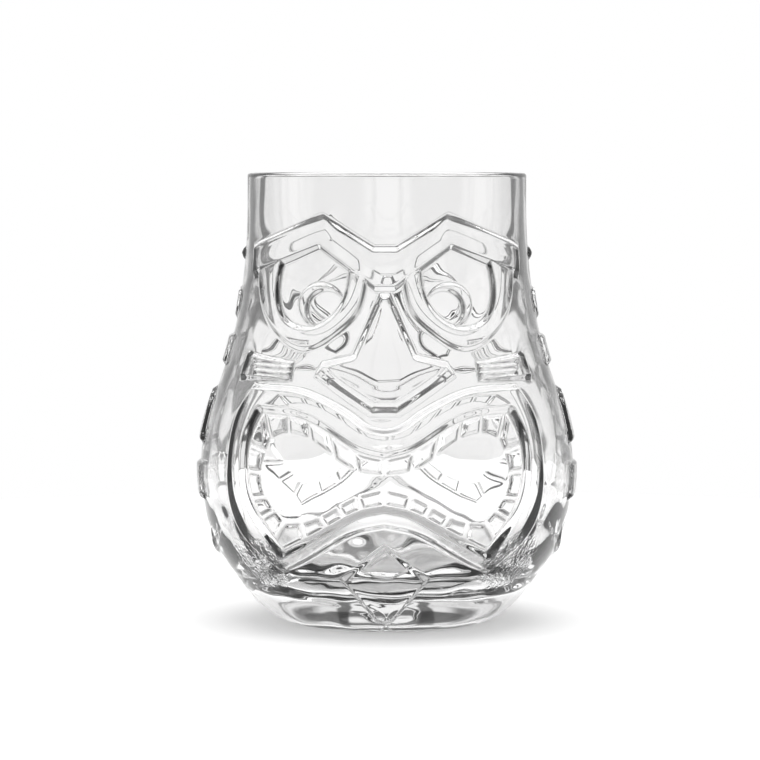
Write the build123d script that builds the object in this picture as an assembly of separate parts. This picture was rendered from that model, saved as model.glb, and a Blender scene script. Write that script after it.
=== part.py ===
from build123d import *
import os

# A stemless drinking glass with a tiki mask moulded into its front and its back.
# It is one piece of clear glass. Millimetres, +Z up, the front face looks along -Y.
# The origin is the centre of the ring that the glass rests on.

HEIGHT = 110.5          # foot to rim
RIM_RADIUS = 34.3       # outside of the straight neck
FOOT_RADIUS = 22.5      # outer edge of the flat resting ring
FOOT_WIDTH = 3.0        # width of that ring
PUNT_RISE = 1.2         # how far the underside is pushed up at its centre
BASE_GLASS = 12.0       # height of the inside floor above the table
FLOOR_RADIUS = 8.0      # flat middle of the inside floor
RIM_WALL = 1.6          # wall at the rim
RIM_ROUNDING = 0.7      # fire-polished edge of the rim

# Relief heights above the plain body.
LOW = 0.8
MIDDLE = 1.1
HIGH = 1.4

RELIEF_START = 12.0     # relief prisms start this far from the axis, inside the cup
RELIEF_END = 60.0       # and end clear outside the glass

# Outside of the body as (radius, height), from the foot to the start of the straight neck.
BODY_POINTS = [
    (FOOT_RADIUS, 0),
    (31.0, 3.8),
    (37.6, 11.8),
    (42.7, 19.8),
    (45.4, 30.5),
    (45.9, 41.0),
    (44.3, 50.3),
    (40.4, 61.9),
    (37.2, 73.5),
    (35.3, 85.5),
    (RIM_RADIUS, 102.0),
]

# Inside of the cup as (radius, height), from the flat floor to the straight neck.
CUP_POINTS = [
    (FLOOR_RADIUS, BASE_GLASS),
    (20.0, 12.5),
    (31.0, 14.8),
    (37.6, 19.5),
    (41.6, 27.0),
    (43.5, 36.0),
    (43.5, 43.5),
    (41.4, 53.0),
    (37.8, 64.0),
    (34.9, 76.0),
    (33.3, 88.0),
    (RIM_RADIUS - RIM_WALL, 102.0),
]

# Right half of each mask feature as (across, height); the left half mirrors it.
BROW = [(0, 93.7), (2.5, 93.7), (15.0, 101.5), (32.0, 93.8),
        (32.0, 85.0), (15.5, 92.3), (2.5, 82.5), (0, 82.5)]
NOSE = [(0, 82.8), (1.5, 82.8), (7.8, 68.2), (15.0, 66.4), (17.0, 62.6),
        (3.6, 53.3), (0, 53.3)]
EYE_OUTER = [(30.0, 86.5), (29.2, 80.0), (25.8, 72.7), (19.8, 69.2),
             (10.4, 73.0), (6.0, 77.3), (3.8, 84.0)]
EYE_HOLLOW = [(22.5, 90.5), (24.9, 82.0), (22.7, 76.0), (18.5, 74.6),
              (11.6, 78.6), (9.4, 83.5), (8.6, 89.0)]
PUPIL_CENTRE = (15.0, 79.4)
PUPIL_RADIUS = 5.6
IRIS_CENTRE = (13.6, 78.4)
IRIS_RADIUS = 4.3
CHEEK = [(21.3, 66.1), (32.8, 67.9), (35.2, 60.8), (21.9, 61.4)]
CHEEK_GROOVES = [62.6, 63.8, 65.0]
GROOVE = 0.5            # width of the grooves in the cheeks and between the teeth

LIP_TOP = [(0, 49.5), (2.0, 49.8), (7.0, 52.8), (12.5, 55.7), (19.0, 58.6), (30.5, 59.7)]
LIP_SIDE = [(30.5, 59.7), (34.3, 54.8), (37.3, 43.0), (37.2, 33.5), (33.6, 24.0), (23.8, 15.4)]
LIP_BOTTOM = [(23.8, 15.4), (15.0, 21.0), (5.2, 26.7), (0, 27.8)]
MOUTH_TOP = [(0, 43.9), (5.5, 45.2), (10.7, 48.0), (15.5, 51.0), (21.5, 53.2), (29.0, 53.6)]
MOUTH_SIDE = [(29.0, 53.6), (32.0, 48.6), (33.2, 41.0), (31.6, 32.5), (24.0, 21.8)]
MOUTH_BOTTOM = [(24.0, 21.8), (12.8, 28.4), (5.0, 32.4), (0, 33.4)]
BITE_TOP = [(0, 40.3), (6.2, 41.3), (11.5, 44.2), (17.0, 48.0), (24.6, 49.3), (27.3, 48.0)]
BITE_SIDE = [(27.3, 48.0), (29.1, 42.5), (28.2, 34.4), (23.3, 27.9)]
BITE_BOTTOM = [(23.3, 27.9), (18.8, 28.6), (6.2, 35.3), (0, 37.0)]

# Gaps between the teeth, each as (bite end, lip end).
TOOTH_GAPS = [
    ((0, 39.5), (0, 45.0)),
    ((6.3, 40.5), (7.4, 47.0)),
    ((11.6, 43.5), (12.8, 50.0)),
    ((17.2, 47.0), (18.2, 53.5)),
    ((22.4, 48.0), (22.9, 54.5)),
    ((26.6, 47.0), (28.4, 54.5)),
    ((28.5, 45.2), (34.0, 47.0)),
    ((28.5, 40.1), (34.0, 40.1)),
    ((27.8, 34.3), (33.5, 33.2)),
    ((25.5, 31.5), (31.5, 27.2)),
    ((23.3, 28.9), (26.8, 22.0)),
    ((19.6, 29.0), (18.6, 24.0)),
    ((15.7, 31.0), (12.8, 26.5)),
    ((11.3, 33.6), (8.5, 28.8)),
    ((6.6, 36.2), (5.0, 31.0)),
    ((0, 38.0), (0, 32.5)),
]

CHIN = [(0, 24.0), (10.9, 15.2), (2.0, 3.8), (0, 3.0)]

# Column of ornaments on each side, as (half width, height) outlines around the X axis.
DOT_HEIGHT = 90.9
DOT_RADIUS = 1.6
LEAF = [(0, 74.6), (3.4, 76.0), (5.8, 79.2), (4.2, 82.2), (0, 83.0)]
BLOCK = [(0, 63.4), (6.8, 63.4), (7.6, 71.2), (0, 71.2)]
SHIELD = [(0, 44.2), (9.2, 44.2), (8.6, 50.5), (5.4, 56.2), (0, 58.2)]
TABLET = [(0, 30.7), (10.6, 30.7), (10.9, 40.0), (0, 40.0)]
CRESCENT_TIP = (12.5, 26.7)
CRESCENT_LOW = 15.4
CRESCENT_HIGH = 19.8


def wall_curve(points, extra=0.0):
    """Smooth wall through the given points, with an upright end at the neck."""
    wall = [(radius + extra, height) for radius, height in points]
    return Spline(*wall, tangents=[(1, 0), (0, 1)], tangent_scalars=(1, 1))


def turned(edges):
    """Solid made by turning a closed outline, drawn in radius and height, about the Z axis."""
    return revolve(Plane.XZ * make_face(ShapeList(edges)), Axis.Z)


def skin(relief):
    """Body swollen by the height of a relief, up to just below the rim."""
    radius = RIM_RADIUS + relief
    top = HEIGHT - 5
    return turned([
        wall_curve(BODY_POINTS, relief),
        Line((radius, BODY_POINTS[-1][1]), (radius, top)),
        Line((radius, top), (0, top)),
        Line((0, top), (0, 0)),
        Line((0, 0), (FOOT_RADIUS + relief, 0)),
    ])


def plain_body():
    """Body without relief, solid inside, with the outer edge of its rim rounded."""
    shoulder = HEIGHT - RIM_ROUNDING
    inset = RIM_RADIUS - RIM_ROUNDING
    return turned([
        wall_curve(BODY_POINTS),
        Line((RIM_RADIUS, BODY_POINTS[-1][1]), (RIM_RADIUS, shoulder)),
        TangentArc((RIM_RADIUS, shoulder), (inset, HEIGHT), tangent=(0, 1)),
        Line((inset, HEIGHT), (0, HEIGHT)),
        Line((0, HEIGHT), (0, 0)),
        Line((0, 0), (FOOT_RADIUS, 0)),
    ])


def cup():
    """Space inside the glass, flared at the top to round the inner edge of the rim."""
    radius = CUP_POINTS[-1][0]
    shoulder = HEIGHT - RIM_ROUNDING
    flare = radius + RIM_ROUNDING
    top = HEIGHT + 5
    return turned([
        wall_curve(CUP_POINTS),
        Line((radius, CUP_POINTS[-1][1]), (radius, shoulder)),
        TangentArc((radius, shoulder), (flare, HEIGHT), tangent=(0, 1)),
        Line((flare, HEIGHT), (flare, top)),
        Line((flare, top), (0, top)),
        Line((0, top), (0, BASE_GLASS)),
        Line((0, BASE_GLASS), (FLOOR_RADIUS, BASE_GLASS)),
    ])


def punt():
    """Ball whose cap pushes the underside up and leaves a flat resting ring."""
    edge = FOOT_RADIUS - FOOT_WIDTH
    ball = (edge ** 2 + PUNT_RISE ** 2) / (2 * PUNT_RISE)
    return Pos(0, 0, PUNT_RISE - ball) * Sphere(ball)


def mirrored(outline):
    """Whole closed outline from its right half."""
    left = [(-x, z) for x, z in reversed(outline) if x > 0]
    return list(outline) + left


def front_prism(face):
    """A face drawn in X and Z, made into a prism that runs forward through the front wall."""
    lying = Plane((0, -RELIEF_START, 0), x_dir=(1, 0, 0), z_dir=(0, -1, 0)) * face
    return extrude(lying, RELIEF_END - RELIEF_START)


def straight(outline):
    return make_face(Polyline(*outline, close=True).edges())


def curved_ring(top, side, bottom):
    """Face inside three curves that meet end to end, mirrored about the middle."""
    edges = []
    for sign in (1, -1):
        for run in (top, side, bottom):
            edges.append(Spline(*[(sign * x, z) for x, z in run]))
    return make_face(ShapeList(edges))


def eye(sign):
    """Raised ring around one eye, with the pupil's crescent inside it."""
    outer = [(sign * x, z) for x, z in EYE_OUTER]
    hollow = [(sign * x, z) for x, z in EYE_HOLLOW]
    rim = make_face(ShapeList([Spline(*outer), Line(outer[-1], outer[0])]))
    hole = make_face(ShapeList([Spline(*hollow), Line(hollow[-1], hollow[0])]))
    pupil = Pos(sign * PUPIL_CENTRE[0], PUPIL_CENTRE[1]) * Circle(PUPIL_RADIUS)
    iris = Pos(sign * IRIS_CENTRE[0], IRIS_CENTRE[1]) * Circle(IRIS_RADIUS)
    return (rim - hole) + (pupil - iris)


def cheek(sign):
    """Raised bar beside the nose with three thin grooves."""
    bar = straight([(sign * x, z) for x, z in CHEEK])
    inner_end = CHEEK[0][0]
    outer_end = CHEEK[1][0]
    for height in CHEEK_GROOVES:
        length = outer_end - inner_end
        middle = inner_end + length / 2 - 1.5
        bar -= Pos(sign * middle, height) * Rectangle(length, GROOVE)
    return bar


def tooth_gap(start, end, sign):
    """Thin slot from the bite line to the lip, between two teeth."""
    first = Vector(sign * start[0], start[1])
    last = Vector(sign * end[0], end[1])
    along = last - first
    middle = (first + last) * 0.5
    turn = Axis((0, 0, 0), (1, 0, 0)).direction.get_signed_angle(along, Vector(0, 0, 1))
    return Pos(middle.X, middle.Y) * Rot(0, 0, turn) * Rectangle(along.length, GROOVE)


def teeth():
    """Band of teeth between the lips and the bite, cut into separate blocks."""
    band = curved_ring(MOUTH_TOP, MOUTH_SIDE, MOUTH_BOTTOM)
    band -= curved_ring(BITE_TOP, BITE_SIDE, BITE_BOTTOM)
    for start, end in TOOTH_GAPS:
        for sign in (1, -1):
            band -= tooth_gap(start, end, sign)
    return band


def lips():
    outer = curved_ring(LIP_TOP, LIP_SIDE, LIP_BOTTOM)
    return outer - curved_ring(MOUTH_TOP, MOUTH_SIDE, MOUTH_BOTTOM)


def mask():
    """Relief of the front face, as one list of solids."""
    low_skin = skin(LOW)
    middle_skin = skin(MIDDLE)
    high_skin = skin(HIGH)
    relief = [
        front_prism(straight(mirrored(BROW))) & middle_skin,
        front_prism(straight(mirrored(NOSE))) & high_skin,
        front_prism(lips()) & high_skin,
        front_prism(teeth()) & low_skin,
        front_prism(straight(mirrored(CHIN))) & low_skin,
    ]
    for sign in (1, -1):
        relief.append(front_prism(eye(sign)) & low_skin)
        relief.append(front_prism(cheek(sign)) & low_skin)
    return relief


def side_prism(face):
    """A face drawn in Y and Z, made into a prism that runs out through the right wall."""
    standing = Plane((RELIEF_START, 0, 0), x_dir=(0, 1, 0), z_dir=(1, 0, 0)) * face
    return extrude(standing, RELIEF_END - RELIEF_START)


def crescent():
    tip = CRESCENT_TIP
    lower = ThreePointArc((-tip[0], tip[1]), (0, CRESCENT_LOW), tip)
    upper = ThreePointArc(tip, (0, CRESCENT_HIGH), (-tip[0], tip[1]))
    return make_face(ShapeList([lower, upper]))


def side_ornaments():
    """Column of ornaments on the right side."""
    low_skin = skin(LOW)
    middle_skin = skin(MIDDLE)
    dot = Pos(0, DOT_HEIGHT) * Circle(DOT_RADIUS)
    return [
        side_prism(dot) & middle_skin,
        side_prism(straight(mirrored(LEAF))) & low_skin,
        side_prism(straight(mirrored(BLOCK))) & middle_skin,
        side_prism(straight(mirrored(SHIELD))) & middle_skin,
        side_prism(straight(mirrored(TABLET))) & middle_skin,
        side_prism(crescent()) & low_skin,
    ]


def glass_tumbler():
    """The whole glass: body and relief on all four sides, less the cup and the punt."""
    relief = mask() + side_ornaments()
    opposite = [Rot(0, 0, 180) * solid for solid in relief]
    return plain_body().fuse(*relief, *opposite) - cup() - punt()


def main():
    os.makedirs("parts", exist_ok=True)
    export_step(glass_tumbler(), "parts/glass_tumbler.step")


main()
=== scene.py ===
"""Looks for the moulded glass tiki tumbler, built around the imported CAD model.

The visible piece is one closed mesh: a turned vessel whose outside carries the mask and the
side ornaments as smooth, bevelled relief. Outlines are in millimetres, the mesh is in metres.
"""

import math

import bpy
import numpy as np
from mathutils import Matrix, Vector


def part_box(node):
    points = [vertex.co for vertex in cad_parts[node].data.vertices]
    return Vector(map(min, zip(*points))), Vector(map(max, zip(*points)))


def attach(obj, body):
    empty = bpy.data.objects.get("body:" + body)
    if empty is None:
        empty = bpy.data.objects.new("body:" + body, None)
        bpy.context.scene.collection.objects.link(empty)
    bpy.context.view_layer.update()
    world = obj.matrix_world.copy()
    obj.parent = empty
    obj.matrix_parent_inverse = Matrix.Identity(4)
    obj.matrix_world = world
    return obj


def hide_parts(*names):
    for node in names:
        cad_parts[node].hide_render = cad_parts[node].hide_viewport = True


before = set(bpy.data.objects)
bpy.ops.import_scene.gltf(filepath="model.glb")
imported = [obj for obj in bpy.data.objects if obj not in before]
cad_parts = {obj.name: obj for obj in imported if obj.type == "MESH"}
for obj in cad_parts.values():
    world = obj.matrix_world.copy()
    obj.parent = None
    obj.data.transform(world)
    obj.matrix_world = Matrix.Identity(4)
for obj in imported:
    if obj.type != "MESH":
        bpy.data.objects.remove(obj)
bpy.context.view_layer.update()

MM = 0.001
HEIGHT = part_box("glass_tumbler")[1].z / MM

# ---------------------------------------------------------------- vessel, in millimetres

RIM_RADIUS = 34.3
RIM_WALL = 1.6
RIM_ROUNDING = 0.7
FOOT_RADIUS = 22.5
FOOT_WIDTH = 3.0
PUNT_RISE = 0.9
BASE_GLASS = 12.0
NECK_START = 102.0      # the neck is straight from here up
SHOULDER = HEIGHT - RIM_ROUNDING

# Outside of the body as (radius, height), from the foot to the rounding of the rim.
BODY_POINTS = [
    (FOOT_RADIUS, 0.0), (31.0, 3.8), (37.6, 11.8), (42.7, 19.8), (45.4, 30.5), (45.9, 41.0),
    (44.3, 50.3), (40.4, 61.9), (37.2, 73.5), (35.3, 85.5), (RIM_RADIUS, NECK_START),
    (RIM_RADIUS, SHOULDER),
]

# Inside of the cup as (radius, height), from the middle of the floor to that rounding.
CUP_POINTS = [
    (0.0, BASE_GLASS), (8.0, BASE_GLASS + 0.1), (20.0, 12.5), (31.0, 14.8), (37.6, 19.5),
    (41.6, 27.0), (43.5, 36.0), (43.5, 43.5), (41.4, 53.0), (37.8, 64.0), (34.9, 76.0),
    (33.3, 88.0), (RIM_RADIUS - RIM_WALL, NECK_START), (RIM_RADIUS - RIM_WALL, SHOULDER),
]

# Distances round the vessel are measured on a cylinder of this radius.
UNROLL = 40.0

# ---------------------------------------------------------------- mask outlines

# Right half of each feature as (across, height); the left half mirrors it.
BROW = [(0, 93.7), (2.5, 93.7), (15.0, 101.5), (32.0, 93.8),
        (32.0, 85.0), (15.5, 92.3), (2.5, 82.5), (0, 82.5)]
NOSE = [(0, 82.8), (1.5, 82.8), (7.8, 68.2), (15.0, 66.4), (17.0, 62.6),
        (3.6, 53.3), (0, 53.3)]
BROW_TOP = BROW[2:4]        # the outer top edge, which climbs gently
NOSE_UNDER = NOSE[4:]       # the underside of the nose, which does too
EYE_OUTER = [(30.4, 92.0), (30.2, 80.0), (26.4, 72.3), (19.8, 68.3),
             (10.4, 72.8), (6.0, 77.3), (3.2, 88.0)]
EYE_HOLLOW = [(22.5, 94.0), (24.9, 82.0), (22.7, 76.0), (18.5, 74.6),
              (11.6, 78.6), (9.4, 83.5), (8.6, 94.0)]
PUPIL = ((15.0, 79.4), 5.6)
IRIS = ((13.6, 78.4), 4.3)
CHEEK = [(21.3, 66.1), (32.8, 67.9), (35.2, 60.8), (21.9, 61.4)]
CHEEK_GROOVES = [62.4, 63.7, 65.0]

LIP_TOP = [(0, 51.1), (2.0, 51.4), (7.0, 54.4), (12.5, 57.6), (19.0, 60.1), (31.2, 60.6)]
LIP_SIDE = [(31.2, 60.6), (34.8, 55.0), (37.8, 43.0), (37.7, 33.5), (33.8, 23.6), (23.8, 15.2)]
LIP_BOTTOM = [(23.8, 15.2), (15.0, 20.8), (5.2, 26.4), (0, 27.5)]
MOUTH_TOP = [(0, 43.9), (5.5, 45.2), (10.7, 48.0), (15.5, 51.0), (21.5, 53.2), (29.0, 53.6)]
MOUTH_SIDE = [(29.0, 53.6), (31.3, 48.6), (32.4, 41.0), (30.9, 32.5), (24.0, 21.8)]
MOUTH_BOTTOM = [(24.0, 21.8), (12.8, 28.4), (5.0, 32.4), (0, 33.4)]
BITE_TOP = [(0, 40.3), (6.2, 41.3), (11.5, 44.2), (17.0, 48.0), (24.6, 49.3), (27.3, 48.0)]
BITE_SIDE = [(27.3, 48.0), (29.1, 42.5), (28.2, 34.4), (23.3, 27.9)]
BITE_BOTTOM = [(23.3, 27.9), (18.8, 28.6), (6.2, 35.3), (0, 37.0)]

# Gaps between the teeth, each as (bite end, lip end).
TOOTH_GAPS = [
    ((0, 39.5), (0, 45.0)), ((6.3, 40.5), (7.4, 47.0)), ((11.6, 43.5), (12.8, 50.0)),
    ((17.2, 47.0), (18.2, 53.5)), ((22.4, 48.0), (22.9, 54.5)), ((26.6, 47.0), (28.4, 54.5)),
    ((28.5, 45.2), (34.0, 47.0)), ((28.5, 40.1), (34.0, 40.1)), ((27.8, 34.3), (33.5, 33.2)),
    ((25.5, 31.5), (31.5, 27.2)), ((23.3, 28.9), (26.8, 22.0)), ((19.6, 29.0), (18.6, 24.0)),
    ((15.7, 31.0), (12.8, 26.5)), ((11.3, 33.6), (8.5, 28.8)), ((6.6, 36.2), (5.0, 31.0)),
    ((0, 38.0), (0, 32.5)),
]
TOOTH_GAP = 0.75

CHIN = [(0, 24.0), (10.9, 15.2), (2.0, 3.8), (0, 3.0)]

# ---------------------------------------------------------------- ornament outlines

# Column of ornaments on each side, as (half width, height) outlines.
DOT = ((0, 90.9), 1.6)
LEAF = [(0, 74.4), (3.4, 76.0), (5.8, 79.2), (4.2, 82.2), (0, 83.2)]
BLOCK = [(0, 63.2), (6.8, 63.2), (7.6, 71.4), (0, 71.4)]
SHIELD = [(0, 44.0), (9.2, 44.0), (8.6, 50.5), (5.4, 56.2), (0, 58.4)]
TABLET = [(0, 30.5), (10.6, 30.5), (10.9, 40.2), (0, 40.2)]
CRESCENT_LOWER = [(0, 15.2), (8.5, 18.6), (12.5, 26.8)]
CRESCENT_UPPER = [(12.5, 26.8), (7.6, 21.4), (0, 19.6)]

# Grainy patch on each lower flank, as distances round the vessel and up.
FLANK_CENTRE = (32.0, 18.0)
FLANK_RADII = (10.0, 7.5)
FLANK_GRAIN = 0.7       # against 1 on the grainy ornaments
FLANK_FADE = 0.3        # part of the radii over which the patch fades out

GRAIN_INSET = 0.8       # the grain of an ornament starts this far inside its outline
GRAIN_FADE = 0.5        # and is full this much further in

# ---------------------------------------------------------------- relief sizes

# How far the relief stands out.
LOW = 0.8
MIDDLE = 1.1
HIGH = 1.4
EYE_RISE = 0.9
DOT_RISE = 1.0
LOW_ORNAMENT = 0.75
HIGH_ORNAMENT = 1.05
NOSE_LEVELS = (60.0, 80.0)      # between these heights the nose gets lower,
NOSE_RISES = (1.9, 1.2)         # from the first of these to the second

# Widths of the sloping edges.
BEVEL = 1.9
NOSE_BEVEL = 2.2
NOSE_UNDER_SLOPE = 3.8
NOSE_UNDER_CORNER = 0.8         # rounding of that slope's two corners
EYE_BEVEL = 1.5
PUPIL_BEVEL = 1.0
CHEEK_BEVEL = 1.2
TOOTH_BEVEL = 0.8
CHIN_BEVEL = 1.3
ROUND_ORNAMENT_BEVEL = 1.4
SQUARE_ORNAMENT_BEVEL = 1.2
SHIELD_BEVEL = 1.6

# The two slopes of the brow's outer top edge, one behind the other, as (width, rise).
BROW_TOP_SLOPES = ((2.4, 0.64), (5.0, 0.46))

GROOVE_ENDS = (20.0, 30.5)      # across the cheek
GROOVE_SLANT = 0.3              # how much higher the outer end is
GROOVE_DEPTH = 0.6              # as a part of the cheek's height
GROOVE_HALF_WIDTH = 0.5

BACK_SCALE = 0.5                # the mask on the back has finer, lower edges

# ---------------------------------------------------------------- curves

CURVE_STEP = 0.8        # between the points of a curved outline
LINE_STEP = 1.5         # between the points of a straight one
BODY_STEP = 1.0         # between the points of the body that an outline is laid on
CIRCLE_STEP = 6         # degrees


def cubic_curve(points, step, clamp=True):
    """Smooth curve through the points, sampled about every step, with its unit tangents.
    A clamped curve starts level and ends upright."""
    knots = np.array(points, float)
    chords = np.hypot(*np.diff(knots, axis=0).T)
    lengths = np.concatenate([[0], np.cumsum(chords)])
    count = len(knots)
    system = np.zeros((count, count))
    right = np.zeros((count, 2))
    for i in range(1, count - 1):
        before, after = chords[i - 1], chords[i]
        arrival, departure = knots[i] - knots[i - 1], knots[i + 1] - knots[i]
        system[i, i - 1:i + 2] = (after, 2 * (before + after), before)
        right[i] = 3 * (after * arrival / before + before * departure / after)
    system[0, 0] = system[-1, -1] = 1
    right[0] = (1, 0) if clamp else (knots[1] - knots[0]) / chords[0]
    right[-1] = (0, 1) if clamp else (knots[-1] - knots[-2]) / chords[-1]
    slopes = np.linalg.solve(system, right)

    samples = np.linspace(0, lengths[-1], max(2, int(round(lengths[-1] / step)) + 1))
    span = np.clip(np.searchsorted(lengths, samples, side="right") - 1, 0, count - 2)
    chord = chords[span][:, None]
    u = ((samples - lengths[span]) / chords[span])[:, None]
    start, end = knots[span], knots[span + 1]
    leaving, reaching = slopes[span] * chord, slopes[span + 1] * chord
    value = (2 * u ** 3 - 3 * u ** 2 + 1) * start + (u ** 3 - 2 * u ** 2 + u) * leaving
    value += (3 * u ** 2 - 2 * u ** 3) * end + (u ** 3 - u ** 2) * reaching
    slope = (6 * u ** 2 - 6 * u) * (start - end) + (3 * u ** 2 - 4 * u + 1) * leaving
    slope += (3 * u ** 2 - 2 * u) * reaching
    return value, slope / np.linalg.norm(slope, axis=1, keepdims=True)


def smooth_run(points):
    """Points along a smooth curve through the given ones."""
    return [tuple(p) for p in cubic_curve(points, CURVE_STEP, clamp=False)[0]]


def straight_run(points):
    """The same corners with more points between them."""
    run = []
    for (ax, az), (bx, bz) in zip(points, points[1:]):
        count = max(1, int(math.hypot(bx - ax, bz - az) / LINE_STEP))
        run += [(ax + (bx - ax) * i / count, az + (bz - az) * i / count) for i in range(count)]
    return run + [points[-1]]


def joined(*runs):
    """Right half of an outline from smooth runs that meet end to end."""
    half = []
    for run in runs:
        half += smooth_run(run)[:-1]
    return half + [runs[-1][-1]]


def circle(disc):
    (cx, cz), radius = disc
    turns = [math.radians(a) for a in range(0, 360, CIRCLE_STEP)]
    return [(cx + radius * math.cos(t), cz + radius * math.sin(t)) for t in turns]


def mirrored(outline):
    """Whole closed outline from its right half."""
    left = [(-x, z) for x, z in reversed(outline) if x > 0]
    return list(outline) + left


def unrolled(points):
    """Outline drawn flat, as seen from the front, laid round the vessel's surface."""
    body, _ = cubic_curve(BODY_POINTS, BODY_STEP)
    laid = []
    for x, z in points:
        radius = np.interp(z, body[:, 1], body[:, 0])
        laid.append((UNROLL * math.asin(max(-1, min(1, x / radius))), z))
    return laid


# ---------------------------------------------------------------- distances

def distance_to_line(start, end, x, z):
    (ax, az), (bx, bz) = start, end
    dx, dz = bx - ax, bz - az
    u = np.clip(((x - ax) * dx + (z - az) * dz) / (dx * dx + dz * dz), 0, 1)
    return np.hypot(x - ax - u * dx, z - az - u * dz)


def distance_to_run(points, x, z):
    lines = zip(points, points[1:])
    return np.minimum.reduce([distance_to_line(start, end, x, z) for start, end in lines])


def depth_inside(outline, x, z):
    """Distance from each point to the closed outline: positive inside, negative outside."""
    corners = np.array(outline, float)
    following = np.roll(corners, -1, axis=0)
    nearest = np.full(x.shape, np.inf)
    inside = np.zeros(x.shape, bool)
    for (ax, az), (bx, bz) in zip(corners, following):
        nearest = np.minimum(nearest, distance_to_line((ax, az), (bx, bz), x, z))
        if az != bz:
            inside ^= ((az > z) != (bz > z)) & (x < ax + (z - az) * (bx - ax) / (bz - az))
    return np.where(inside, nearest, -nearest)


def depth_on_vessel(outline, x, z):
    """The same for an outline drawn flat, at distances round the vessel."""
    return depth_inside(unrolled(outline), x, z)


def disc_depth(disc, x, z):
    (cx, cz), radius = disc
    return radius - np.hypot(x - cx, z - cz)


# ---------------------------------------------------------------- edges

def bevel(depth, width, height):
    """Raised height: zero outside, a smooth S-shaped slope over the bevel, then flat."""
    u = np.clip(depth / width, 0, 1)
    return height * u * u * (3 - 2 * u)


def scaled_bevel(depth, width, height, scale):
    """A bevel that is narrower and lower by the scale."""
    return bevel(depth, width * scale, height * scale)


def chamfer(depth, width, corner):
    """Straight slope from zero to one across the width, its two corners rounded."""
    straight = width - 2 * corner
    u, e = (depth - corner) / straight, corner / straight

    def area(v):
        return np.where(v < 1, np.clip(v, 0, 1) ** 2 / 2, v - 0.5)

    return (area(u + e) - area(u - e)) / (2 * e)


# ---------------------------------------------------------------- features of the mask

# Each gives its height above the body for points at |distance round| and height, and takes
# the scale of the raised edges: 1 for the mask on the front, less for the one on the back.

def brow(x, z, scale):
    height = scaled_bevel(depth_on_vessel(mirrored(straight_run(BROW)), x, z), BEVEL, MIDDLE, scale)
    behind_edge = distance_to_run(unrolled(BROW_TOP), x, z)
    soft_top = 0
    for width, rise in BROW_TOP_SLOPES:
        soft_top = soft_top + scaled_bevel(behind_edge, width, rise, scale)
        behind_edge = behind_edge - width * scale
    return np.minimum(height, soft_top)


def nose(x, z, scale):
    height = bevel(depth_on_vessel(mirrored(straight_run(NOSE)), x, z), NOSE_BEVEL * scale, 1.0)
    from_under = distance_to_run(unrolled(NOSE_UNDER), x, z)
    under = chamfer(from_under, NOSE_UNDER_SLOPE * scale, NOSE_UNDER_CORNER * scale)
    return np.minimum(height, under) * (scale * np.interp(z, NOSE_LEVELS, NOSE_RISES))


def eye_ring(x, z, scale):
    outer = depth_on_vessel(smooth_run(EYE_OUTER), x, z)
    hollow = depth_on_vessel(smooth_run(EYE_HOLLOW), x, z)
    return scaled_bevel(np.minimum(outer, -hollow), EYE_BEVEL, EYE_RISE, scale)


def pupil(x, z, scale):
    """Comma between the pupil's circle and the iris's."""
    outer = depth_on_vessel(circle(PUPIL), x, z)
    hollow = depth_on_vessel(circle(IRIS), x, z)
    return scaled_bevel(np.minimum(outer, -hollow), PUPIL_BEVEL, LOW, scale)


def cheek(x, z, scale):
    """Bar beside the nose, with shallow grooves that start at its inner end."""
    height = scaled_bevel(depth_on_vessel(straight_run(CHEEK), x, z), CHEEK_BEVEL, MIDDLE, scale)
    inner, outer = GROOVE_ENDS
    for level in CHEEK_GROOVES:
        start, end = unrolled([(inner, level), (outer, level + GROOVE_SLANT)])
        beside = bevel(distance_to_line(start, end, x, z), GROOVE_HALF_WIDTH, 1.0)
        height *= 1 - GROOVE_DEPTH * (1 - beside)
    return height


def mouth(x, z, scale):
    """Lips all round the open mouth, and inside them the teeth, up to the bite."""
    lips = depth_on_vessel(mirrored(joined(LIP_TOP, LIP_SIDE, LIP_BOTTOM)), x, z)
    opening = depth_on_vessel(mirrored(joined(MOUTH_TOP, MOUTH_SIDE, MOUTH_BOTTOM)), x, z)
    bite = depth_on_vessel(mirrored(joined(BITE_TOP, BITE_SIDE, BITE_BOTTOM)), x, z)
    tooth = np.minimum(opening, -bite)
    for gap in TOOTH_GAPS:
        start, end = unrolled(gap)
        tooth = np.minimum(tooth, distance_to_line(start, end, x, z) - TOOTH_GAP / 2)
    lip = scaled_bevel(np.minimum(lips, -opening), BEVEL, HIGH, scale)
    return np.maximum(lip, scaled_bevel(tooth, TOOTH_BEVEL, LOW, scale))


def chin(x, z, scale):
    return scaled_bevel(depth_on_vessel(mirrored(straight_run(CHIN)), x, z), CHIN_BEVEL, LOW, scale)


def mask_relief(x, z, scale):
    features = (brow, nose, eye_ring, pupil, cheek, mouth, chin)
    return np.maximum.reduce([feature(x, z, scale) for feature in features])


# ---------------------------------------------------------------- side ornaments and grain

def crescent():
    return mirrored(joined(CRESCENT_LOWER, CRESCENT_UPPER))


def ornament_relief(y, z):
    """Height of the side ornaments above the body, for points at |across| and height."""
    dome = np.sqrt(np.clip(disc_depth(DOT, y, z) / DOT[1], 0, 1))
    height = dome * DOT_RISE
    for outline, width, rise in ((mirrored(LEAF), ROUND_ORNAMENT_BEVEL, LOW_ORNAMENT),
                                 (mirrored(BLOCK), SQUARE_ORNAMENT_BEVEL, HIGH_ORNAMENT),
                                 (mirrored(SHIELD), SHIELD_BEVEL, HIGH_ORNAMENT),
                                 (mirrored(TABLET), SQUARE_ORNAMENT_BEVEL, HIGH_ORNAMENT),
                                 (crescent(), ROUND_ORNAMENT_BEVEL, LOW_ORNAMENT)):
        height = np.maximum(height, bevel(depth_inside(outline, y, z), width, rise))
    return height


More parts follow.
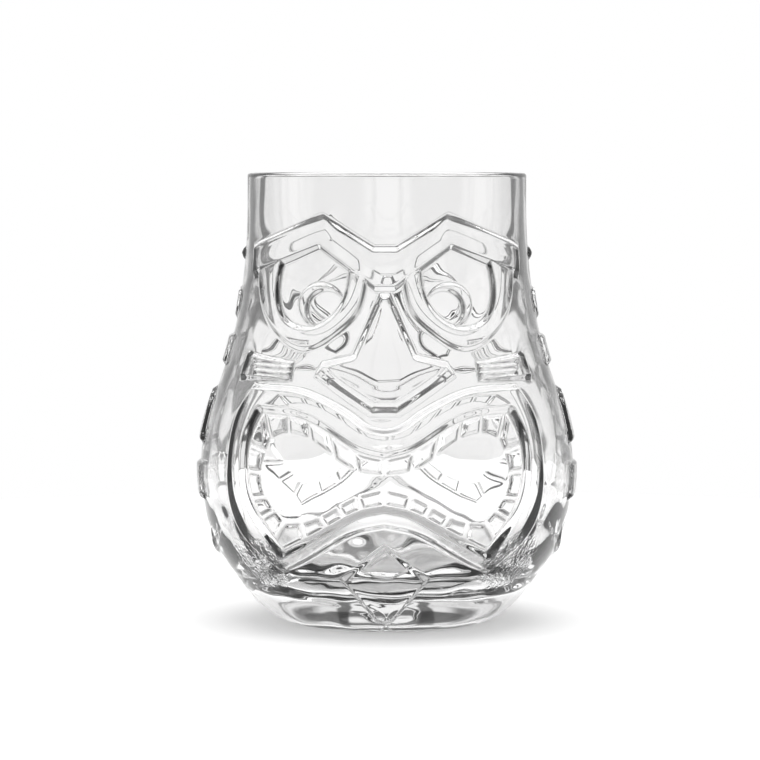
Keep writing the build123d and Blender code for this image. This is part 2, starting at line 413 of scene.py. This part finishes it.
def ornament_grain(y, z):
    """One on the grainy tops of the block, the tablet and the crescent, zero elsewhere."""
    outlines = (mirrored(BLOCK), mirrored(TABLET), crescent())
    depth = np.maximum.reduce([depth_inside(outline, y, z) for outline in outlines])
    return np.clip((depth - GRAIN_INSET) / GRAIN_FADE, 0, 1)


def flank_grain(x, z):
    """Grainy patches low on the body, beside the corners of the mouth."""
    across = (x - FLANK_CENTRE[0]) / FLANK_RADII[0]
    up = (z - FLANK_CENTRE[1]) / FLANK_RADII[1]
    return FLANK_GRAIN * np.clip((1 - np.hypot(across, up)) / FLANK_FADE, 0, 1)


# ---------------------------------------------------------------- rows and columns of the mesh

FINE_STEP = 0.28        # across and up the masks
SIDE_STEP = 0.40        # across the ornament columns
PLAIN_STEP = 0.8        # up the smooth inside
MASK_EDGE = 64.0        # degrees from the front where the fine steps end
UNDER_START = 1.5       # radius of the innermost row of the underside
UNDER_ROWS = 14
RIM_TURN = 20           # degrees between the rows over the rim

UNDER, OUTSIDE, RIM, INSIDE = range(4)


def quarter_angles():
    """Angles from the front, 0, to the side, 90 degrees, fine on the mask."""
    degree = max(r for r, z in BODY_POINTS) * math.pi / 180
    mask = np.linspace(0, MASK_EDGE, int(MASK_EDGE * degree / FINE_STEP) + 1)
    side = np.linspace(MASK_EDGE, 90, int((90 - MASK_EDGE) * degree / SIDE_STEP) + 1)
    return np.radians(np.concatenate([mask, side[1:]]))


def once_round(quarter):
    """The turn of each column, and the column of the quarter that it repeats. Four mirrored
    quarters, each without its last column, go once round the axis."""
    forward = np.arange(len(quarter) - 1)
    backward = np.arange(len(quarter) - 1, 0, -1)
    turn = np.concatenate([quarter[forward], math.pi - quarter[backward],
                           math.pi + quarter[forward], 2 * math.pi - quarter[backward]])
    return turn, np.concatenate([forward, backward, forward, backward])


def profile_rows():
    """Rows of the vessel from the middle of the underside, up the outside, over the rim
    and down the inside, as (radius, height, outward radius, outward height, which surface)."""
    rows = []
    foot_inner = FOOT_RADIUS - FOOT_WIDTH
    ball = (foot_inner ** 2 + PUNT_RISE ** 2) / (2 * PUNT_RISE)
    for r in np.linspace(UNDER_START, foot_inner, UNDER_ROWS):
        rows.append((r, PUNT_RISE - ball + math.sqrt(ball ** 2 - r ** 2), 0, -1, UNDER))
    rows.append(((foot_inner + FOOT_RADIUS) / 2, 0, 0, -1, UNDER))

    value, tangent = cubic_curve(BODY_POINTS, FINE_STEP)
    for (r, z), (tr, tz) in zip(value, tangent):
        rows.append((r, z, tz, -tr, OUTSIDE))

    outer_centre = RIM_RADIUS - RIM_ROUNDING
    inner_centre = RIM_RADIUS - RIM_WALL + RIM_ROUNDING
    for angle in range(RIM_TURN, 180, RIM_TURN):
        centre = outer_centre if angle < 90 else inner_centre
        c, s = math.cos(math.radians(angle)), math.sin(math.radians(angle))
        rows.append((centre + RIM_ROUNDING * c, SHOULDER + RIM_ROUNDING * s, c, s, RIM))

    value, tangent = cubic_curve(CUP_POINTS, PLAIN_STEP)
    for (r, z), (tr, tz) in zip(value[:0:-1], tangent[:0:-1]):
        rows.append((r, z, -tz, tr, INSIDE))
    return rows


# ---------------------------------------------------------------- inner surfaces

INNER_RELIEF = -0.45    # how far the inside follows the relief outside
INNER_BLUR = 2.2
RIPPLE = 0.09
RIPPLE_WAVES = 14
RIPPLE_LENGTH = (5.0, 13.0)
RIPPLE_SEED = 7
RIPPLE_TOP = 34.0       # the ripples inside the cup end at this height
RIPPLE_FADE = 14.0      # and are full this far below it
FLOOR_EDGE = (22.0, 37.0)       # radii between which the cup's floor turns into its wall
FLOOR_SHARE = 0.4       # of the ripples on the floor, against 1 on the wall
HOLLOW_SHARE = 0.3      # and in the middle of the foot's hollow
MIDDLE_FADE = 4.0       # radius within which all ripples fade out


def blur(values, width, axis):
    """Gaussian blur of the grid along one axis, wrapping round the vessel on axis 1."""
    reach = int(3 * width)
    weights = np.exp(-0.5 * (np.arange(-reach, reach + 1) / width) ** 2)
    weights /= weights.sum()
    pad = [(0, 0), (0, 0)]
    pad[axis] = (reach, reach)
    padded = np.pad(values, pad, mode="wrap" if axis else "edge")
    length = values.shape[axis]
    slices = (padded.take(range(k, k + length), axis=axis) for k in range(2 * reach + 1))
    return sum(w * part for w, part in zip(weights, slices))


def soft_copy(relief, height, outside, inside):
    """Blurred relief of the outside, read off at the heights of the inside rows."""
    width = INNER_BLUR / FINE_STEP
    soft = blur(blur(relief[outside], width, 0), width, 1)
    order = np.argsort(height[outside])
    known = height[outside][order]
    return np.stack([np.interp(height[inside], known, column[order]) for column in soft.T], axis=1)


def ripples(x, y, z):
    """Uneven surface of pressed glass: plane waves in all directions, about one unit high."""
    rng = np.random.RandomState(RIPPLE_SEED)
    total = np.zeros(x.shape)
    for _ in range(RIPPLE_WAVES):
        direction = rng.normal(size=3)
        direction /= np.linalg.norm(direction)
        distance = direction[0] * x + direction[1] * y + direction[2] * z
        turns = distance / rng.uniform(*RIPPLE_LENGTH)
        total += np.sin(2 * math.pi * (turns + rng.uniform()))
    return total / math.sqrt(RIPPLE_WAVES / 2)


def ripple_share(radius, height, surface):
    """How much of the ripples each row takes: most low inside the cup, some in the foot's hollow."""
    low = np.where(surface == INSIDE, np.clip((RIPPLE_TOP - height) / RIPPLE_FADE, 0, 1), 0)
    low *= np.interp(radius, FLOOR_EDGE, [FLOOR_SHARE, 1.0])
    hollow = np.clip(1 - (radius / (FOOT_RADIUS - FOOT_WIDTH)) ** 2, 0, 1)
    share = low + HOLLOW_SHARE * np.where(surface == UNDER, hollow, 0)
    return share * np.clip(radius / MIDDLE_FADE, 0, 1)


# ---------------------------------------------------------------- mesh

def vessel_points():
    """Points of the vessel as rows by columns, with the grain at each."""
    quarter = quarter_angles()
    rows = profile_rows()
    radius, height, out_r, out_z, surface = (np.array(c, float) for c in zip(*rows))
    outside = surface == OUTSIDE
    inside = surface == INSIDE

    round_front = np.repeat(UNROLL * quarter[None], len(rows), axis=0)
    across_side = radius[:, None] * np.cos(quarter)[None]
    level = np.repeat(height[:, None], len(quarter), axis=1)
    front_mask = mask_relief(round_front, level, 1.0)
    back_mask = mask_relief(round_front, level, BACK_SCALE)
    ornaments = ornament_relief(across_side, level)
    grain = np.maximum(ornament_grain(across_side, level), flank_grain(round_front, level))

    turn, columns = once_round(quarter)
    relief = np.where(np.cos(turn) < 0, back_mask[:, columns], front_mask[:, columns])
    relief = np.maximum(relief, ornaments[:, columns]) * outside[:, None]
    grain = grain[:, columns] * outside[:, None]
    relief[inside] = INNER_RELIEF * soft_copy(relief, height, outside, inside)
    uneven = ripples(radius[:, None] * np.sin(turn), -radius[:, None] * np.cos(turn), height[:, None])
    relief += RIPPLE * ripple_share(radius, height, surface)[:, None] * uneven

    r = radius[:, None] + relief * out_r[:, None]
    z = height[:, None] + relief * out_z[:, None]
    return np.stack([r * np.sin(turn), -r * np.cos(turn), z], axis=-1), grain


def closed_faces(row_count, column_count):
    """Faces between the rows of a closed tube, and a fan at each end. The middle points of the
    two fans, first the underside's and then the floor's, follow the points of the rows."""
    under = row_count * column_count
    floor = under + 1
    last = under - column_count
    faces = []
    for i in range(row_count - 1):
        for j in range(column_count):
            k = (j + 1) % column_count
            a, b = i * column_count, (i + 1) * column_count
            faces.append((a + j, a + k, b + k, b + j))
    for j in range(column_count):
        k = (j + 1) % column_count
        faces.append((under, k, j))
        faces.append((floor, last + j, last + k))
    return faces


def vessel_mesh():
    points, grain = vessel_points()
    vertices = (points * MM).reshape(-1, 3).tolist()
    vertices.append((0, 0, PUNT_RISE * MM))
    vertices.append((0, 0, BASE_GLASS * MM))
    mesh = bpy.data.meshes.new("glass_tumbler_visual")
    mesh.from_pydata(vertices, [], closed_faces(*grain.shape))
    mesh.polygons.foreach_set("use_smooth", [True] * len(mesh.polygons))
    attribute = mesh.attributes.new("grain", "FLOAT", "POINT")
    attribute.data.foreach_set("value", np.append(grain.ravel(), [0, 0]).astype(np.float32))
    mesh.update()
    mesh.validate()
    return mesh


# ---------------------------------------------------------------- materials

def node(tree, kind, **values):
    """New shader node with some of its inputs set by name."""
    made = tree.nodes.new(kind)
    for name, value in values.items():
        made.inputs[name.replace("_", " ")].default_value = value
    return made


def principled(name, looks):
    """New material whose Principled shader has the given values."""
    material = bpy.data.materials.new(name)
    material.use_nodes = True
    shader = material.node_tree.nodes["Principled BSDF"]
    for label, value in looks.items():
        shader.inputs[label].default_value = value
    return material


def clear_glass():
    """Polished soda-lime glass with a faint moulded wave, and grain where the mesh asks for it."""
    material = principled("clear_glass", {
        "Base Color": (0.958, 0.956, 0.955, 1),
        "Transmission Weight": 1.0,
        "Roughness": 0.0,
        "IOR": 1.5,
    })
    tree = material.node_tree
    link = tree.links.new
    place = tree.nodes.new("ShaderNodeTexCoord")
    wave = node(tree, "ShaderNodeTexNoise", Scale=70.0, Detail=1.0)
    grain = node(tree, "ShaderNodeTexNoise", Scale=900.0, Detail=2.0)
    link(place.outputs["Object"], wave.inputs["Vector"])
    link(place.outputs["Object"], grain.inputs["Vector"])
    amount = tree.nodes.new("ShaderNodeAttribute")
    amount.attribute_name = "grain"
    wave_bump = node(tree, "ShaderNodeBump", Strength=0.15, Distance=0.001)
    grain_bump = node(tree, "ShaderNodeBump", Distance=0.0006)
    link(wave.outputs["Fac"], wave_bump.inputs["Height"])
    link(grain.outputs["Fac"], grain_bump.inputs["Height"])
    link(amount.outputs["Fac"], grain_bump.inputs["Strength"])
    link(wave_bump.outputs["Normal"], grain_bump.inputs["Normal"])
    link(grain_bump.outputs["Normal"], tree.nodes["Principled BSDF"].inputs["Normal"])
    return material


def paper_floor():
    return principled("paper_floor", {
        "Base Color": (0.90, 0.90, 0.90, 1),
        "Emission Color": (1, 1, 1, 1),
        "Emission Strength": 0.28,
        "Roughness": 0.9,
        "Specular IOR Level": 0.0,
    })


# ---------------------------------------------------------------- table

TABLE_RADIUS = 0.30
TABLE_DROP = 0.00003    # keeps the table top and the foot from sharing one plane
TABLE_STEP = 3          # degrees


def add_floor():
    """Round white table top. The white studio beyond it hides its edge from the camera."""
    angles = [math.radians(a) for a in range(0, 360, TABLE_STEP)]
    rim = [(TABLE_RADIUS * math.cos(a), TABLE_RADIUS * math.sin(a), -TABLE_DROP) for a in angles]
    mesh = bpy.data.meshes.new("floor")
    mesh.from_pydata(rim, [], [tuple(range(len(rim)))])
    floor = bpy.data.objects.new("floor", mesh)
    bpy.context.scene.collection.objects.link(floor)
    floor.data.materials.append(paper_floor())


# ---------------------------------------------------------------- studio

# The studio is an empty white room. A place on it is named by the direction that a ray leaves
# in: how far round from the middle of the nearest wall, 0 there and 0.5 in a corner, and how
# high, -1 straight down and 1 straight up. Each pair below says where something starts and ends.
DARK = 0.15
GAP_EDGE = 0.01                     # half the width of a gap's soft edge
UPRIGHT_GAP = (0.165, 0.225)        # round from the middle of each wall
BEYOND_UPRIGHT_GAP = 0.85           # brightness
UPPER_GAP = (0.143, 0.20)           # above the horizon
LOWER_GAP = (0.143, 0.31)           # below the horizon
SHADE_ROUND = (0.28, 0.38)          # the walls darken towards the corners
SHADE_END = (0.22, 0.32)            # up to this far above and below the horizon
CORNER_STRIP = (0.475, 0.485)       # thin bright strip in each corner
CORNER_STRIP_TOP = (-0.10, -0.05)   # it ends just below the horizon
PLAIN_WALL = 0.8                    # brightness for rays that don't come through the glass
COVE = (0.55, 0.70)                 # the walls dim a little towards the ceiling
COVE_LIGHT = 0.8                    # as a part of the walls' brightness
CEILING = (0.75, 0.85)              # the ceiling is dark
LAMP = (0.80, 0.88)                 # light overhead, which only matt things catch
LAMP_LIGHT = 2.3


def studio_world():
    """White studio with dark gaps between its light panels, so that glass edges read dark."""
    world = bpy.data.worlds.new("studio")
    bpy.context.scene.world = world
    world.use_nodes = True
    tree = world.node_tree
    tree.nodes.clear()
    link = tree.links.new

    def combine(operation, first, second=None):
        made = tree.nodes.new("ShaderNodeMath")
        made.operation = operation
        for socket, value in zip(made.inputs, (first, second)):
            if isinstance(value, (int, float)):
                socket.default_value = value
            elif value is not None:
                link(value, socket)
        return made.outputs[0]

    def ramp(value, span, before, after):
        made = node(tree, "ShaderNodeMapRange", From_Min=span[0], From_Max=span[1],
                    To_Min=before, To_Max=after)
        made.interpolation_type = "SMOOTHSTEP"
        link(value, made.inputs["Value"])
        return made.outputs["Result"]

    def gap(value, span, beyond=1.0):
        """White before the span, dark along it, then the brightness beyond."""
        start, end = ((edge - GAP_EDGE, edge + GAP_EDGE) for edge in span)
        return combine("MAXIMUM", ramp(value, start, 1.0, DARK), ramp(value, end, DARK, beyond))

    place = tree.nodes.new("ShaderNodeTexCoord")
    split = tree.nodes.new("ShaderNodeSeparateXYZ")
    link(place.outputs["Generated"], split.inputs[0])
    x, y, up = split.outputs
    level_length = combine("ADD", combine("MULTIPLY", x, x), combine("MULTIPLY", y, y))
    around = combine("ABSOLUTE", combine("DIVIDE", combine("MULTIPLY", x, y), level_length))
    down = combine("MULTIPLY", up, -1.0)

    # Seen through the glass: bright panels with dark gaps between them and dark corners.
    shade = combine("MAXIMUM", ramp(around, SHADE_ROUND, 1.0, DARK),
                    ramp(combine("ABSOLUTE", up), SHADE_END, 0.0, 1.0))
    level_gaps = combine("MULTIPLY", gap(up, UPPER_GAP), gap(down, LOWER_GAP))
    gaps = combine("MULTIPLY", gap(around, UPRIGHT_GAP, BEYOND_UPRIGHT_GAP), level_gaps)
    ray = tree.nodes.new("ShaderNodeLightPath")
    through = ray.outputs["Is Transmission Ray"]
    panels = combine("MULTIPLY", combine("MULTIPLY", gaps, shade), through)

    # For every other ray the walls are plain.
    plain = combine("MULTIPLY", combine("SUBTRACT", 1.0, through), PLAIN_WALL)

    # For all of them there are the corner strips, the dimmer cove and the dark ceiling.
    strips = combine("MULTIPLY", ramp(around, CORNER_STRIP, 0.0, 1.0),
                     ramp(up, CORNER_STRIP_TOP, 1.0, 0.0))
    walls = combine("MAXIMUM", combine("ADD", panels, plain), strips)
    coved = combine("MULTIPLY", walls, ramp(up, COVE, 1.0, COVE_LIGHT))
    room = combine("MULTIPLY", coved, ramp(up, CEILING, 1.0, DARK))
    lamp = combine("MULTIPLY", ramp(up, LAMP, 0.0, LAMP_LIGHT), ray.outputs["Is Diffuse Ray"])

    # The camera itself sees a pure white backdrop.
    strength = combine("MAXIMUM", combine("MAXIMUM", room, lamp), ray.outputs["Is Camera Ray"])
    background = node(tree, "ShaderNodeBackground", Color=(1, 1, 1, 1))
    link(strength, background.inputs["Strength"])
    output = tree.nodes.new("ShaderNodeOutputWorld")
    link(background.outputs[0], output.inputs["Surface"])


# ---------------------------------------------------------------- camera

CAMERA_DISTANCE = 0.80
CAMERA_HEIGHT = 0.1165
CAMERA_TURN = math.radians(0.76)
CAMERA_AIM = (-0.0017, 0.0, 0.0594)
LENS = 153.6
SENSOR_WIDTH = 36


def add_camera():
    data = bpy.data.cameras.new("camera")
    data.sensor_width = SENSOR_WIDTH
    data.lens = LENS
    camera = bpy.data.objects.new("camera", data)
    bpy.context.scene.collection.objects.link(camera)
    camera.location = (CAMERA_DISTANCE * math.sin(CAMERA_TURN),
                       -CAMERA_DISTANCE * math.cos(CAMERA_TURN), CAMERA_HEIGHT)
    aim = Vector(CAMERA_AIM) - camera.location
    camera.rotation_euler = aim.to_track_quat("-Z", "Y").to_euler()
    bpy.context.scene.camera = camera


# ---------------------------------------------------------------- build

LIGHT_BOUNCES = 24      # enough for light to cross the front and the back wall

glass = bpy.data.objects.new("glass_tumbler_body", vessel_mesh())
bpy.context.scene.collection.objects.link(glass)
glass.data.materials.append(clear_glass())
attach(glass, "root")
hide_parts("glass_tumbler")

add_floor()
studio_world()
add_camera()
bpy.context.scene.view_settings.view_transform = "Standard"
bpy.context.scene.cycles.max_bounces = LIGHT_BOUNCES
bpy.context.scene.cycles.transmission_bounces = LIGHT_BOUNCES
